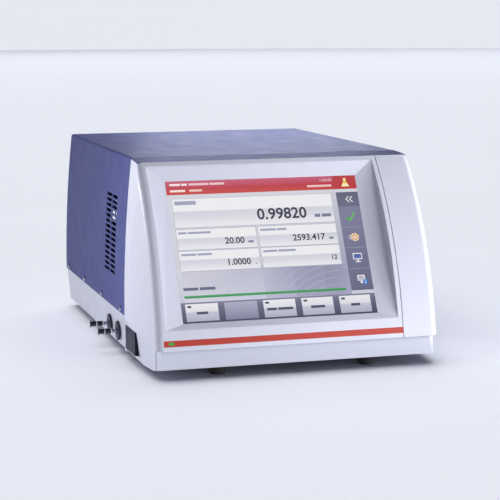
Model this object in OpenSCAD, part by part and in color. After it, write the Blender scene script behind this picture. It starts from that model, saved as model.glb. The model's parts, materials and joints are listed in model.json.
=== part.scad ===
// Benchtop density meter: a sheet-metal cover over a moulded base, with an arched front
// bezel that holds a tilted touch display. Samples enter and leave by two Luer adapters on
// the left side. X runs to the right seen from the front, Y to the rear and Z up. The
// origin lies on the bench, below the middle of the bounding box.

/* [Housing] */
// Width across the lower edge of the cover
body_w = 330; // [310:1:350]
// Length from the front face to the rear edge of the cover
body_l = 495; // [480:1:530]
// Height of the cover's top above the bench
body_h = 226; // [222:1:236]
// Length of the moulded front, from the front edge of its seam to the sheet-metal cover
front_l = 127; // [122:1:136]
// Height of the cover's lower edge above the bench
cover_z = 50; // [46:0.5:54]
// Radius of the arched side walls
side_r = 1510; // [1300:10:2500]
// Wall of the moulded parts
wall = 3; // [2.5:0.1:4]
// Thickness of the cover's sheet
sheet = 1.5; // [1:0.1:2]
// Height of the feet, from the bench to the base
foot_h = 10; // [8:0.5:12]

/* [Front] */
// Radius of the arched front face, seen from the side
front_r = 357; // [330:1:420]
// Depth of the bezel at its top
bezel_top_l = 33; // [28:1:40]
// Drop of the bezel's top from the cover to its front edge
bezel_drop = 2.5; // [0:0.1:4]
// Thickness of the painted strip on top of the bezel
trim_t = 1.4; // [1:0.1:1.8]
// Height of the seam between bezel and base at the front
seam_z = 33; // [30:0.5:38]
// Height of that seam at the cover
seam_rear_z = 47; // [42:0.5:48]
// Width of the front face
front_w = 314; // [300:1:320]
// Radius of the front face's vertical corners
corner_r = 8; // [4:0.5:10]
// Width of the separate right-hand panel
side_panel_w = 39; // [30:1:42]
// Gap beside the right-hand panel
panel_gap = 0.8; // [0.4:0.1:1.2]

/* [Display] */
// Width of the visible screen
screen_w = 218; // [200:1:222]
// Height of the visible screen
screen_h = 162; // [150:1:164]
// Lean of the screen beyond the tilt of the funnel's mouth
screen_lean = 0.5; // [-1:0.1:2]
// Depth of the screen's centre behind the straight line across the funnel's mouth
screen_depth = 4.553; // [4:0.001:8]
// Distance of the screen's centre below the middle of the mouth, along the front
screen_drop = 4; // [2:0.5:6]
// Distance of the screen's centre to the left of the middle
screen_off = 17.5; // [14:0.5:20]
// Width of the funnel's mouth
mouth_w = 260; // [250:1:264]
// Strip between the funnel's mouth and the top edge, along the arc
mouth_top = 5.3; // [4:0.1:8]
// Strip between the funnel's mouth and the seam, along the arc
mouth_bottom = 21.3; // [20:0.1:24]
// Thickness of the touch glass
glass_t = 2; // [1.5:0.1:3]
// Thickness of the display module
module_t = 9; // [7:0.5:12]

/* [Stripe] */
// Height of the accent stripe
stripe_h = 6.6; // [5:0.1:8]
// Distance of the stripe above the seam
stripe_up = 4.8; // [3:0.1:6]
// Depth of the stripe's groove
stripe_t = 1.2; // [0.8:0.1:1.8]
// Width of the status light
led_w = 6; // [4:0.5:8]
// Height of the status light
led_h = 3.3; // [2.5:0.1:4]

/* [Sample ports] */
// Height of the ports above the bench
port_z = 25.8; // [24:0.1:28]
// Distance of the first port behind the cover's front edge
port_y = 41.5; // [38:0.5:50]
// Distance between the two ports
port_pitch = 48; // [40:1:60]
// Reach of the adapters beyond the side of the body
port_reach = 22; // [18:1:28]
// Radius of the adapters' body
adapter_r = 2.9; // [2.7:0.1:3.4]
// Radius of the adapters' neck, on which the nut turns
neck_r = 2; // [1.8:0.1:2.4]
// Radius of the Luer socket
luer_r = 2.1; // [2:0.05:2.2]
// Depth of the Luer socket
luer_l = 9; // [7:0.5:12]
// Radius of the union nut
nut_r = 11; // [9:0.5:13]
// Thickness of the union nut
nut_t = 1.8; // [1.4:0.2:4]
// Grips around the union nut
nut_grips = 24; // [12:2:30]

/* [Side interface] */
// Length of the flap over the side interfaces
flap_l = 48; // [44:1:56]
// Web of the base between the flap's opening and the seam
flap_web = 1.2; // [0.8:0.1:4]
// Thickness of the flap
flap_t = 3; // [2.5:0.1:3.5]
// Height of the flap's lower edge above the bench
flap_z = 13.8; // [13:0.1:16]
// Radius of the flap's hinge pin
flap_pin_r = 0.8; // [0.6:0.05:0.9]
// Depth of the interface bay behind the flap
bay_d = 16; // [12:1:20]

/* [Vents and screws] */
// Rows of vent slots
vent_rows = 15; // [8:1:16]
// Length of one vent slot
vent_l = 28; // [20:1:32]
// Height of one vent slot
vent_h = 3.8; // [2.5:0.1:4.4]
// Distance between vent rows
vent_pitch = 6.15; // [5.5:0.05:7]
// Height of the lowest vent row above the bench
vent_z = 90; // [80:1:100]
// Distance of the vents' middle behind the cover's front edge
vent_y = 83; // [60:1:120]
// Cover screws along each side
screws_per_side = 4; // [2:1:6]
// Radius of the screws' thread
screw_r = 1.5; // [1.2:0.1:2]
// Radius of the screws' heads
head_r = 3.1; // [2.6:0.1:3.6]

/* [Rear] */
// Side of the cooling fan's frame
fan_w = 80; // [60:1:92]
// Thickness of the cooling fan
fan_t = 25; // [20:1:30]
// Blades of the fan
fan_blades = 7; // [5:1:11]
// Distance of the rear panel inside the cover's rear edge
rear_inset = 6; // [4:0.5:10]
// Throw of the power rocker to each side, in degrees
rocker_throw = 8; // [5:1:12]

/* [Inside] */
// Distance between the oscillator's two glass legs
leg_pitch = 14; // [10:1:20]
// Radius of the oscillator's glass tube
glass_r = 2; // [1.5:0.1:2.5]
// Length of the measuring cell block
cell_l = 90; // [70:1:100]
// Width of the measuring cell block
cell_w = 74; // [60:1:90]
// Height of the measuring cell block
cell_h = 50; // [40:1:60]
// Fins of the cell's heat sink
fins = 12; // [6:1:16]

/* [Hidden] */
$fn = 96;
eps = 0.01;
slack = 0.3;            // gap between neighbours that do not touch
run = 0.05;             // radial clearance of a turning fit

half_w = body_w / 2;
front_y = -body_l / 2;
rear_y = body_l / 2;
cover_l = body_l - front_l;
cover_y = front_y + front_l;
top_y = cover_y - bezel_top_l;
top_z = body_h - bezel_drop;
shift_x = port_reach / 2;               // centres the box, adapters included

// The front arc's centre, from its radius and its two ends
chord = norm([top_y - front_y, top_z - seam_z]);
chord_h = sqrt(pow(front_r, 2) - pow(chord / 2, 2));
arc_y = (top_y + front_y) / 2 + chord_h * (top_z - seam_z) / chord;
arc_z = (top_z + seam_z) / 2 - chord_h * (top_y - front_y) / chord;
seam_a = asin((seam_z - arc_z) / front_r);
top_a = asin((top_z - arc_z) / front_r);
function arc_deg(length) = length / front_r * 180 / PI;
function arc_point(a, r = front_r) = [arc_y - r * cos(a), arc_z + r * sin(a)];

// Side arc of the bezel in the revolved section: it is tangent at the cover
flare_r0 = norm([cover_y - arc_y, cover_z - arc_z]);
flare_fall = half_w - front_w / 2;
flare_run = front_r - flare_r0;
flare_r = (pow(flare_run, 2) + pow(flare_fall, 2)) / (2 * flare_fall);

// Screen plane, from the middle of the mouth
mouth_a0 = seam_a + arc_deg(mouth_bottom);
mouth_a1 = top_a - arc_deg(mouth_top);
mouth_mid = (mouth_a0 + mouth_a1) / 2;
mouth_r = front_r * cos((mouth_a1 - mouth_a0) / 2);
mouth_in = arc_point(mouth_mid, mouth_r - screen_depth);
screen_tilt = mouth_mid + screen_lean;
scr_x = -screen_off;
scr_y = mouth_in[0] - screen_drop * sin(mouth_mid);
screen_z = mouth_in[1] - screen_drop * cos(mouth_mid);
glass_rim = 6;                          // glass around the visible screen
panel_x = front_w / 2 - side_panel_w;   // left edge of the right-hand panel

// Base
base_z = foot_h;
base_lift = 2;                          // rise of the base's lower front edge
base_taper = 3.5;                       // how far the base's walls lean in
base_set = 0.5;                         // base side inside the cover's side
front_set = 3;                          // base front behind the bezel's lower edge
floor_z = base_z + wall;
base_rear_y = rear_y - 4;
panel_y = rear_y - rear_inset;          // outer face of the rear panel
panel_t = 2;
foot_r = 9.5;
foot_x = 85;
foot_front_y = front_y + 32;
foot_rear_y = rear_y - 40;

// Ports, flap and bay on the left side
port0_y = cover_y + port_y;
port1_y = port0_y + port_pitch;
port_x = -(half_w - base_set) + base_taper * (cover_z - port_z) / (cover_z - base_z);
tip_x = -half_w - port_reach;
nut_x = port_x - 1.2;                   // inner face of the union nut
flap_face = -half_w + 1;
flap_mid = flap_face + flap_t / 2;
hinge_y = cover_y + 1;
pin_fit = 0.02;                         // radial clearance of the pin's seats
flap_gap = 0.5;                         // gap round the flap
flap_grip = 3.5;                        // gap for a fingernail at the flap's front edge
bay_y0 = hinge_y - flap_l - flap_grip;
bay_y1 = hinge_y + flap_t / 2 + flap_gap;
bay_z0 = flap_z - flap_gap;
bay_z1 = seam_z + (seam_rear_z - seam_z) * (bay_y0 - front_y) / front_l - flap_web;
flap_h = bay_z1 - flap_gap - flap_z;
bay_t = 1.5;
bay_x0 = flap_face + flap_t + 0.4;
pin_up = 4;                             // hinge pin's seat above the opening
luer_bore_r = 0.9;                      // bore behind the Luer socket
ring_t = 0.9;                           // rings on the adapters, and their mouth's ears

// Cell
cell_x0 = 47 - half_w;
cell_y = (port0_y + port1_y) / 2;
bend_r = (port_pitch - leg_pitch) / 4;
tube_r = 1.6;
tube_x0 = 15 - half_w;

// Rear group
fan_x = 90 - half_w;
fan_z = cover_z + 68;
fan_y1 = panel_y - panel_t;
inlet_x = half_w - 69;
inlet_z = cover_z + 32;
rocker_x = half_w - 105;
io_z = cover_z + 86;
io_t = 1.6;
io_y = panel_y - panel_t - 10;

module at_origin() { translate([shift_x, 0, 0]) children(); }

// Section of the housing across X: arched sides, rounded upper corners, inset by g
module arch_section(g, z0, top_g) {
    bend = max(3 - g, 0.5);
    z1 = body_h - top_g;
    up = z1 - bend - cover_z;
    hx = half_w - side_r + sqrt(pow(side_r - g - bend, 2) - pow(up, 2));
    tz = cover_z + up * (side_r - g) / (side_r - g - bend);
    intersection() {
        translate([half_w - side_r, cover_z]) circle(r = side_r - g, $fn = 720);
        translate([side_r - half_w, cover_z]) circle(r = side_r - g, $fn = 720);
        union() {
            translate([-half_w, z0]) square([body_w, tz - z0]);
            translate([-hx, z0]) square([2 * hx, z1 - z0]);
            for (s = [-1, 1]) translate([s * hx, z1 - bend]) circle(r = bend, $fn = 48);
        }
    }
}

module along_y(y0, y1) {
    translate([0, y1, 0]) rotate([90, 0, 0]) linear_extrude(height = y1 - y0) children();
}

module along_x(x0, x1) {
    translate([x0, 0, 0]) rotate([90, 0, 90]) linear_extrude(height = x1 - x0) children();
}

module about_arc() {
    translate([0, arc_y, arc_z]) rotate([0, 90, 0]) rotate_extrude($fn = 720) children();
}

// Section of the bezel through the arc's axis: flared sides and rounded front corners
module bezel_section(g) {
    c = max(corner_r - g, 1);
    r1 = front_r - g;
    dr = r1 - c - flare_r0;
    hc = half_w - flare_r + sqrt(pow(flare_r - g - c, 2) - pow(dr, 2));
    rt = flare_r0 + dr * (flare_r - g) / (flare_r - g - c);
    intersection() {
        translate([flare_r0, half_w - flare_r]) circle(r = flare_r - g, $fn = 720);
        translate([flare_r0, flare_r - half_w]) circle(r = flare_r - g, $fn = 720);
        union() {
            translate([60, -half_w]) square([rt - 60, body_w]);
            translate([60, -hc]) square([r1 - 60, 2 * hc]);
            for (s = [-1, 1]) translate([r1 - c, s * hc]) circle(r = c, $fn = 64);
        }
    }
}

// Side outline of the bezel: top slope, seam slope and rear edge. An open outline runs on
// past the rear edge and the seam, to hollow the shell out.
module bezel_side(g, open) {
    out = 12;
    back = open ? 2 : 0;
    low = open ? 40 : 0;
    slope = bezel_drop / bezel_top_l;
    polygon([
        [cover_y + back, body_h - g + back * slope], [top_y - out, top_z - g - out * slope],
        [front_y - out, top_z - g - out * slope], [front_y - out, seam_z - low],
        [front_y, seam_z - low], [cover_y + back, seam_rear_z - low]
    ]);
}

module bezel_outer(g, open = false) {
    intersection() {
        along_x(-half_w, half_w) bezel_side(g, open);
        along_y(front_y - 5, cover_y + 5) arch_section(g, 0, 0);
        about_arc() bezel_section(g);
    }
}

// Ring sector of the front arc, from angle a0 to a1, radius r0 to r1 and x0 to x1
module arc_band(x0, x1, a0, a1, r0, r1) {
    far = r1 * 1.5;
    intersection() {
        translate([0, arc_y, arc_z]) rotate([0, 90, 0]) difference() {
            translate([0, 0, x0]) cylinder(r = r1, h = x1 - x0, $fn = 720);
            translate([0, 0, x0 - 1]) cylinder(r = r0, h = x1 - x0 + 2, $fn = 720);
        }
        along_x(x0, x1) polygon([
            [arc_y, arc_z], arc_point(a0, far), arc_point((a0 + a1) / 2, far), arc_point(a1, far)
        ]);
    }
}

module on_screen() {
    translate([scr_x, scr_y, screen_z]) rotate([-screen_tilt, 0, 0]) children();
}

// Funnel between the arched mouth and the flat screen window, grown by g
module funnel(g) {
    ga = arc_deg(g);
    steps = 18;
    a0 = mouth_a0 - ga;
    a1 = mouth_a1 + ga;
    p = [for (i = [0 : steps]) arc_point(a0 + (a1 - a0) * i / steps)];
    hull() {
        along_x(scr_x - mouth_w / 2 - g, scr_x + mouth_w / 2 + g) polygon(p);
        on_screen() translate([-screen_w / 2 - g, -eps, -screen_h / 2 - g])
            cube([screen_w + 2 * g, eps, screen_h + 2 * g]);
    }
}

module stripe_band(g, r0, r1) {
    a0 = seam_a + arc_deg(stripe_up);
    arc_band(-front_w / 2 + 7 - g, panel_x - panel_gap / 2 + g,
        a0 - arc_deg(g), a0 + arc_deg(stripe_h + g), r0, r1);
}

// Right-hand part of the bezel that the separate panel covers
module panel_zone(g, depth) {
    arc_band(panel_x - g, half_w + 1, seam_a - 10, top_a + 20, front_r - depth, front_r + 10);
}

// Layer under the bezel's top surface, from back behind the cover's edge to the front
// edge, grown by fit
trim_lip = 0.6;
trim_fit = 0.05;
module trim_zone(back, fit) {
    slope = bezel_drop / bezel_top_l;
    front = bezel_top_l - trim_lip + fit;
    low = body_h - trim_t - fit;
    along_x(-half_w, half_w) polygon([
        [cover_y + back, low + back * slope], [cover_y + back, body_h + 20],
        [cover_y - front, body_h + 20], [cover_y - front, low - front * slope]
    ]);
}

// Painted strip that carries the cover's top on over the bezel to its front edge
module top_trim() {
    color([0.36, 0.37, 0.62]) at_origin() intersection() {
        bezel_outer(0);
        trim_zone(-slack, 0);
    }
}

module front_bezel() {
    color([0.9, 0.9, 0.95]) at_origin() difference() {
        union() {
            difference() {
                bezel_outer(0);
                bezel_outer(wall, true);
            }
            intersection() {
                bezel_outer(eps);
                funnel(wall);
            }
            // rib beside the right-hand panel and the ledge that carries it
            intersection() {
                bezel_outer(eps);
                union() {
                    arc_band(panel_x - panel_gap - wall, panel_x - panel_gap,
                        seam_a - 10, top_a + 20, front_r - 16, front_r + 5);
                    arc_band(panel_x - panel_gap - wall, half_w, seam_a - 10, top_a + 20,
                        front_r - 15, front_r - 12);
                }
            }
            // lip under the cover's front edge
            difference() {
                along_y(cover_y - 2, cover_y + 8) arch_section(sheet + 0.2, cover_z + 16, sheet + 0.2);
                along_y(cover_y - 3, cover_y + 9) arch_section(sheet + 1.9, 0, sheet + 1.9);
            }
        }
        funnel(0);
        arc_band(scr_x - mouth_w / 2, scr_x + mouth_w / 2, mouth_a0, mouth_a1,
            front_r - 0.6, front_r + 12);
        stripe_band(0, front_r - stripe_t, front_r + 5);
        intersection() {
            panel_zone(panel_gap, 12);
            along_x(0, half_w + 1) translate([front_y - 20, seam_z - 20])
                square([body_l, top_z - wall - seam_z + 20]);
        }
        panel_zone(panel_gap, wall + slack);
        trim_zone(6, trim_fit);
    }
}

module right_front_panel() {
    color([0.88, 0.88, 0.94]) at_origin() intersection() {
        difference() {
            bezel_outer(0);
            bezel_outer(wall, true);
        }
        difference() {
            union() {
                panel_zone(0, wall);
                intersection() {
                    panel_zone(0, 12 - slack);
                    along_x(0, half_w + 1) translate([front_y - 20, seam_z - 20])
                        square([body_l, top_z - wall - slack - seam_z + 20]);
                }
            }
            trim_zone(6, trim_fit);
        }
    }
}

module accent_stripe() {
    color([0.8, 0.1, 0.12]) at_origin() difference() {
        stripe_band(-0.05, front_r - stripe_t, front_r);
        status_window(0.05);
    }
}

module status_window(g) {
    led_x = -front_w / 2 + 15.3;
    a = seam_a + arc_deg(stripe_up + stripe_h / 2);
    arc_band(led_x - led_w / 2 - g, led_x + led_w / 2 + g, a - arc_deg(led_h / 2 + g),
        a + arc_deg(led_h / 2 + g), front_r - stripe_t - g, front_r + g);
}

module status_led() { color([0.4, 0.75, 0.3]) at_origin() status_window(0); }

module display_glass() {
    color([0.1, 0.12, 0.2]) at_origin() on_screen()
        translate([-screen_w / 2 - glass_rim, 0, -screen_h / 2 - glass_rim])
            cube([screen_w + 2 * glass_rim, glass_t, screen_h + 2 * glass_rim]);
}

module display_module() {
    color([0.6, 0.62, 0.65]) at_origin() on_screen()
        translate([-screen_w / 2 - 4, glass_t, -screen_h / 2 - 4])
            cube([screen_w + 8, module_t, screen_h + 8]);
}

// Point in the YZ plane, at depth d behind the glass's face and u up the screen
function screen_point(d, u) = [
    scr_y + d * cos(screen_tilt) + u * sin(screen_tilt),
    screen_z - d * sin(screen_tilt) + u * cos(screen_tilt)
];

// Sheet-metal frame behind the display, on two legs that stand on the base's floor
bracket_t = 2;
bracket_rim = 28;
bracket_foot = 16;
leg_x = screen_w * 0.42;
module display_bracket() {
    back = glass_t + module_t;
    leg_in = 1.5;
    low = screen_point(back + bracket_t / 2, leg_in - screen_h / 2);
    high = screen_point(back + bracket_t / 2, screen_h / 4);
    heel = high[0] + bracket_foot;
    window = [screen_w - 2 * bracket_rim, bracket_t + 2, screen_h - 2 * bracket_rim];
    color([0.7, 0.72, 0.75]) at_origin() {
        on_screen() translate([-screen_w / 2, back, -screen_h / 2]) difference() {
            cube([screen_w, bracket_t, screen_h]);
            translate([bracket_rim, -1, bracket_rim]) cube(window);
        }
        for (s = [0, 1]) translate([scr_x, 0, 0]) mirror([s, 0, 0]) {
            along_x(leg_x - bracket_t, leg_x)
                polygon([low, high, [heel, floor_z + 1], [low[0], floor_z + 1]]);
            translate([leg_x + leg_in - bracket_foot, low[0] - leg_in, floor_z])
                cube([bracket_foot, heel - low[0] + 2 * leg_in, bracket_t]);
        }
    }
}

// Display's driver board on the frame, with three chips
control_t = 1.6;
control_h = 110;
chip = [18, 3, 18];
module control_board() {
    back = glass_t + module_t + bracket_t;
    half = leg_x - bracket_t - 2;
    pitch = 35;
    color([0.1, 0.4, 0.25]) at_origin() on_screen() {
        translate([-half, back, -control_h / 2]) cube([2 * half, control_t, control_h]);
        for (i = [-1 : 1]) translate([i * pitch - chip[0] / 2, back + control_t, -chip[2] / 2])
            cube(chip);
    }
}

// Side outline of the base: sloping seam, cover seam, floor and lifted front edge
module base_profile() {
    slope = (seam_rear_z - seam_z) / (cover_y - front_y);
    polygon([
        [front_y + front_set, seam_z + front_set * slope], [cover_y, seam_rear_z],
        [cover_y, cover_z], [base_rear_y, cover_z], [base_rear_y, base_z],
        [front_y + 20, base_z], [front_y + front_set + base_taper, base_z + base_lift]
    ]);
}

// Radius of the base's flared sides, inset by g
base_front_x = front_w / 2 - 1.5;
function base_plan_r(g) = let (run = cover_y - front_y - front_set - g)
    let (fall = half_w - base_set - base_front_x) (pow(run, 2) + pow(fall, 2)) / (2 * fall);

// Plan of the base, inset by g: flared sides and rounded front corners
module base_plan(g) {
    y0 = front_y + front_set + g;
    hx = base_front_x - g;
    c = max(corner_r + 1 - g, 1);
    plan_r = base_plan_r(g);
    intersection() {
        union() {
            translate([-half_w, cover_y]) square([body_w, base_rear_y - g - cover_y]);
            translate([half_w - base_set - g - plan_r, cover_y]) circle(r = plan_r, $fn = 720);
        }
        union() {
            translate([-half_w, cover_y]) square([body_w, base_rear_y - g - cover_y]);
            translate([plan_r - half_w + base_set + g, cover_y]) circle(r = plan_r, $fn = 720);
        }
        translate([-half_w + base_set + g, y0 + c])
            square([body_w - 2 * (base_set + g), base_rear_y - g - y0 - c]);
    }
    translate([-hx + c, y0]) square([2 * (hx - c), c + 1]);
    for (s = [-1, 1]) translate([s * (hx - c), y0 + c]) circle(r = c, $fn = 64);
}

// Leaning walls: the section across X and the lean of the front
module base_lean(g) {
    intersection() {
        along_y(front_y, rear_y) polygon([
            [-half_w + base_set + g + base_taper, base_z - 1],
            [half_w - base_set - g - base_taper, base_z - 1],
            [half_w - base_set - g, cover_z + 1], [-half_w + base_set + g, cover_z + 1]
        ]);
        along_x(-half_w, half_w) polygon([
            [front_y + front_set + g + base_taper, base_z - 1], [rear_y, base_z - 1],
            [rear_y, cover_z + 1], [front_y + front_set + g, cover_z + 1],
            [front_y + front_set + g, seam_z]
        ]);
    }
}

lug_w = 8;
port_hole_l = 16;
module base_tub() {
    color([0.88, 0.88, 0.94]) at_origin() difference() {
        union() {
            difference() {
                intersection() {
                    along_x(-half_w, half_w) base_profile();
                    translate([0, 0, base_z - 1]) linear_extrude(height = 60) base_plan(0);
                    base_lean(0);
                }
                intersection() {
                    translate([0, 0, floor_z]) linear_extrude(height = 60) base_plan(wall);
                    base_lean(wall);
                }
            }
            // upstand that the cover's screws go into
            for (s = [0, 1]) mirror([s, 0, 0]) intersection() {
                difference() {
                    along_y(cover_y + 12, panel_y - panel_t - 1) arch_section(sheet + 0.2, cover_z - 8, 20);
                    along_y(cover_y, rear_y) arch_section(sheet + 0.2 + wall, 0, 20);
                }
                translate([-half_w, cover_y, cover_z - 8]) cube([20, cover_l, 21]);
            }
            // hinge lug of the flap
            translate([flap_face, hinge_y - lug_w / 2, base_z]) cube([lug_w, lug_w, bay_z0 - base_z]);
        }
        // openings for the interface bay, its finger scoop and the two ports
        translate([-half_w - 5, bay_y0, bay_z0])
            cube([bay_x0 + bay_d + slack + half_w + 5, bay_y1 - bay_y0, bay_z1 - bay_z0]);
        finger_scoop();
        for (y = [port0_y, port1_y]) translate([-half_w - 5, y, port_z])
            rotate([0, 90, 0]) cylinder(r = adapter_r + slack, h = port_hole_l, $fn = 48);
        for (z = [base_z - 1, bay_z1 - eps]) translate([flap_mid, hinge_y, z])
            cylinder(r = flap_pin_r + pin_fit, h = z > base_z ? pin_up + 1.5 : bay_z0 - base_z + 2, $fn = 32);
        for (y = screw_ys(), s = [-1, 1]) screw_hole(s, y, screw_r + run, 14);
    }
}

// Outer face of the base's left side, at a place along the side and a height
function flare(y) = pow(max(cover_y - y, 0), 2) / (2 * base_plan_r(0));
function lean(z) = base_taper * (cover_z - z) / (cover_z - base_z);
function side_x(y, z) = -half_w + base_set + max(flare(y), lean(z));

// Finger scoop in front of the flap: a ramp that is deepest at the opening's lower corner
scoop_reach = 20;
scoop_top = 9;
scoop_depth = 1.8;
module finger_scoop() {
    y = bay_y0 + eps;
    z0 = flap_z + 0.6;
    z1 = bay_z1 - flap_gap;
    tip_z = z0 + 2.6;
    inner = [
        [side_x(y - scoop_top, z1), y - scoop_top, z1],
        [side_x(y - scoop_reach, tip_z), y - scoop_reach, tip_z],
        [side_x(y, z0) + scoop_depth, y, z0], [side_x(y, z1) + slack, y, z1]
    ];
    outer = [for (p = inner) [-half_w - 10, p[1], p[2]]];
    polyhedron(
        points = concat(inner, outer),
        faces = [
            [0, 1, 2], [0, 2, 3], [4, 6, 5], [4, 7, 6],
            [0, 4, 5, 1], [1, 5, 6, 2], [2, 6, 7, 3], [3, 7, 4, 0]
        ]
    );
}

function screw_ys() = [for (i = [0 : screws_per_side - 1])
    cover_y + 20.5 + i * (cover_l - 41) / (screws_per_side - 1)];
screw_z = cover_z + 5;

module screw_hole(side, y, r, depth) {
    translate([side * half_w, y, screw_z]) rotate([0, -side * 90, 0])
        translate([0, 0, -2]) cylinder(r = r, h = depth, $fn = 32);
}

module vent_slot() {
    square([vent_l - vent_h, vent_h], center = true);
    for (s = [-1, 1]) translate([s * (vent_l - vent_h) / 2, 0]) circle(d = vent_h, $fn = 24);
}

module top_cover() {
    color([0.36, 0.37, 0.62]) at_origin() difference() {
        along_y(cover_y, rear_y) arch_section(0, cover_z, 0);
        along_y(cover_y - 1, rear_y + 1) arch_section(sheet, cover_z - 5, sheet);
        along_x(-half_w - 1, -half_w + 16)
            for (i = [0 : vent_rows - 1], s = [-1, 1])
                translate([cover_y + vent_y + s * (vent_l + 3) / 2, vent_z + i * vent_pitch])
                    vent_slot();
        for (y = screw_ys(), s = [-1, 1]) screw_hole(s, y, screw_r + 0.2, 8);
    }
}

module pan_screw(length) {
    difference() {
        union() {
            translate([0, 0, -length]) cylinder(r = screw_r, h = length + 0.5, $fn = 32);
            cylinder(r = head_r, h = 1, $fn = 40);
            translate([0, 0, 1]) cylinder(r1 = head_r, r2 = head_r * 0.72, h = 0.8, $fn = 40);
        }
        translate([0, 0, 0.6]) cylinder(r = head_r * 0.45, h = 2, $fn = 6);
    }
}

module cover_screws() {
    color([0.75, 0.76, 0.78]) at_origin() for (y = screw_ys(), s = [-1, 1])
        translate([s * half_w, y, screw_z]) rotate([0, s * 90, 0]) pan_screw(7);
}

module foot() {
    color([0.12, 0.12, 0.13]) at_origin() {
        cylinder(r1 = foot_r - 1.5, r2 = foot_r, h = 3, $fn = 64);
        translate([0, 0, 3 - eps]) cylinder(r = foot_r, h = foot_h - 3 + eps, $fn = 64);
    }
}

module foot_front_left() { translate([-foot_x, foot_front_y, 0]) foot(); }
module foot_front_right() { translate([foot_x, foot_front_y, 0]) foot(); }
module foot_rear_left() { translate([-foot_x, foot_rear_y, 0]) foot(); }
module foot_rear_right() { translate([foot_x, foot_rear_y, 0]) foot(); }

// Side interfaces: a moulded bay, two sockets in it and the hinged flap over it
module port_bay() {
    x0 = bay_x0;
    color([0.2, 0.2, 0.22]) at_origin() difference() {
        translate([x0, bay_y0 + slack, bay_z0 + slack])
            cube([bay_d, bay_y1 - bay_y0 - 2 * slack, bay_z1 - bay_z0 - 2 * slack]);
        translate([x0 - 1, bay_y0 + slack + bay_t, bay_z0 + slack + bay_t])
            cube([bay_d - bay_t + 1, bay_y1 - bay_y0 - 2 * (slack + bay_t),
                bay_z1 - bay_z0 - 2 * (slack + bay_t)]);
        for (y = side_socket_ys())
            translate([x0 + bay_d - 3, y - usb[0] / 2 - usb_fit, side_socket_z - usb[1] / 2 - usb_fit])
                cube([6, usb[0] + 2 * usb_fit, usb[1] + 2 * usb_fit]);
    }
}

function side_socket_ys() = [hinge_y - flap_l * 0.3, hinge_y - flap_l * 0.68];
side_socket_z = (bay_z0 + bay_z1) / 2;

// Data socket that opens to -X: a sheet-metal shell, open in front, and its tongue
usb = [5.8, 13.4];
usb_t = 0.45;
usb_fit = 0.35;
tongue = [1.4, 11.2];
module usb_shell(length) {
    difference() {
        translate([0, -usb[0] / 2, -usb[1] / 2]) cube([length, usb[0], usb[1]]);
        translate([-1, -usb[0] / 2 + usb_t, -usb[1] / 2 + usb_t])
            cube([length, usb[0] - 2 * usb_t, usb[1] - 2 * usb_t]);
    }
    translate([1.5, -1.9, -tongue[1] / 2]) cube([length - 2, tongue[0], tongue[1]]);
}

module side_sockets() {
    color([0.75, 0.76, 0.78]) at_origin() for (y = side_socket_ys())
        translate([bay_x0 + bay_d - bay_t - 1, y, side_socket_z]) usb_shell(14);
}

flap_skin = 1.6;
flap_rim = 3;
module interface_flap() {
    color([0.13, 0.13, 0.16]) at_origin() difference() {
        union() {
            translate([flap_face, hinge_y - flap_l, flap_z]) cube([flap_t, flap_l, flap_h]);
            translate([flap_mid, hinge_y, flap_z]) cylinder(r = flap_t / 2, h = flap_h, $fn = 48);
        }
        translate([flap_mid, hinge_y, flap_z - 1])
            cylinder(r = flap_pin_r + run, h = flap_h + 2, $fn = 32);
        // relief of the inner face
        translate([flap_face + flap_skin, hinge_y - flap_l + flap_rim, flap_z + flap_rim])
            cube([flap_t, flap_l - 2 * flap_rim - 2, flap_h - 2 * flap_rim]);
    }
}

module flap_hinge_pin() {
    color([0.7, 0.7, 0.72]) at_origin() translate([flap_mid, hinge_y, base_z + 0.3])
        cylinder(r = flap_pin_r, h = bay_z1 - base_z + pin_up, $fn = 32);
}

// Luer adapter: two sleeves between rings, a thin neck for the nut and locking ears
hex_r = adapter_r + 2.6;
hex_t = 3;
ear_w = 3.6;
neck_x0 = 0.61;                         // share of the reach that the sleeves take
module adapter(y) {
    reach = port_x - tip_x;
    shoulder = nut_x + 0.2 - tip_x;
    length = tube_x0 - tip_x;
    translate([tip_x, y, port_z]) rotate([0, 90, 0]) difference() {
        union() {
            cylinder(r = adapter_r, h = reach * neck_x0, $fn = 64);
            cylinder(r = neck_r, h = shoulder + eps, $fn = 64);
            translate([0, 0, shoulder]) cylinder(r = adapter_r, h = length - shoulder, $fn = 64);
            for (f = [neck_x0 / 2, neck_x0]) translate([0, 0, reach * f - ring_t])
                cylinder(r = adapter_r + 0.45, h = ring_t, $fn = 64);
            intersection() {
                cylinder(r = adapter_r + 1.1, h = ring_t, $fn = 64);
                translate([-10, -ear_w / 2, 0]) cube([20, ear_w, ring_t]);
            }
            translate([0, 0, reach + wall + 1.1]) cylinder(r = hex_r, h = hex_t, $fn = 6);
        }
        translate([0, 0, -1]) cylinder(r = luer_r, h = luer_l + 1, $fn = 48);
        cylinder(r = luer_bore_r, h = length + 1, $fn = 24);
    }
}

// Round nut with a ring of grips and a low collar
grip_r = 0.7;
collar_t = 1;
module union_nut(y) {
    translate([nut_x - nut_t, y, port_z]) rotate([0, 90, 0]) difference() {
        union() {
            cylinder(r = nut_r, h = nut_t, $fn = 96);
            translate([0, 0, -collar_t])
                cylinder(r1 = neck_r + 1.2, r2 = neck_r + 2, h = collar_t + eps, $fn = 64);
        }
        translate([0, 0, -collar_t - 1]) cylinder(r = neck_r + run, h = nut_t + collar_t + 2, $fn = 64);
        for (i = [0 : nut_grips - 1]) rotate(i * 360 / nut_grips)
            translate([nut_r + grip_r / 3, 0, -1]) cylinder(r = grip_r, h = nut_t + 2, $fn = 16);
    }
}

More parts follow.
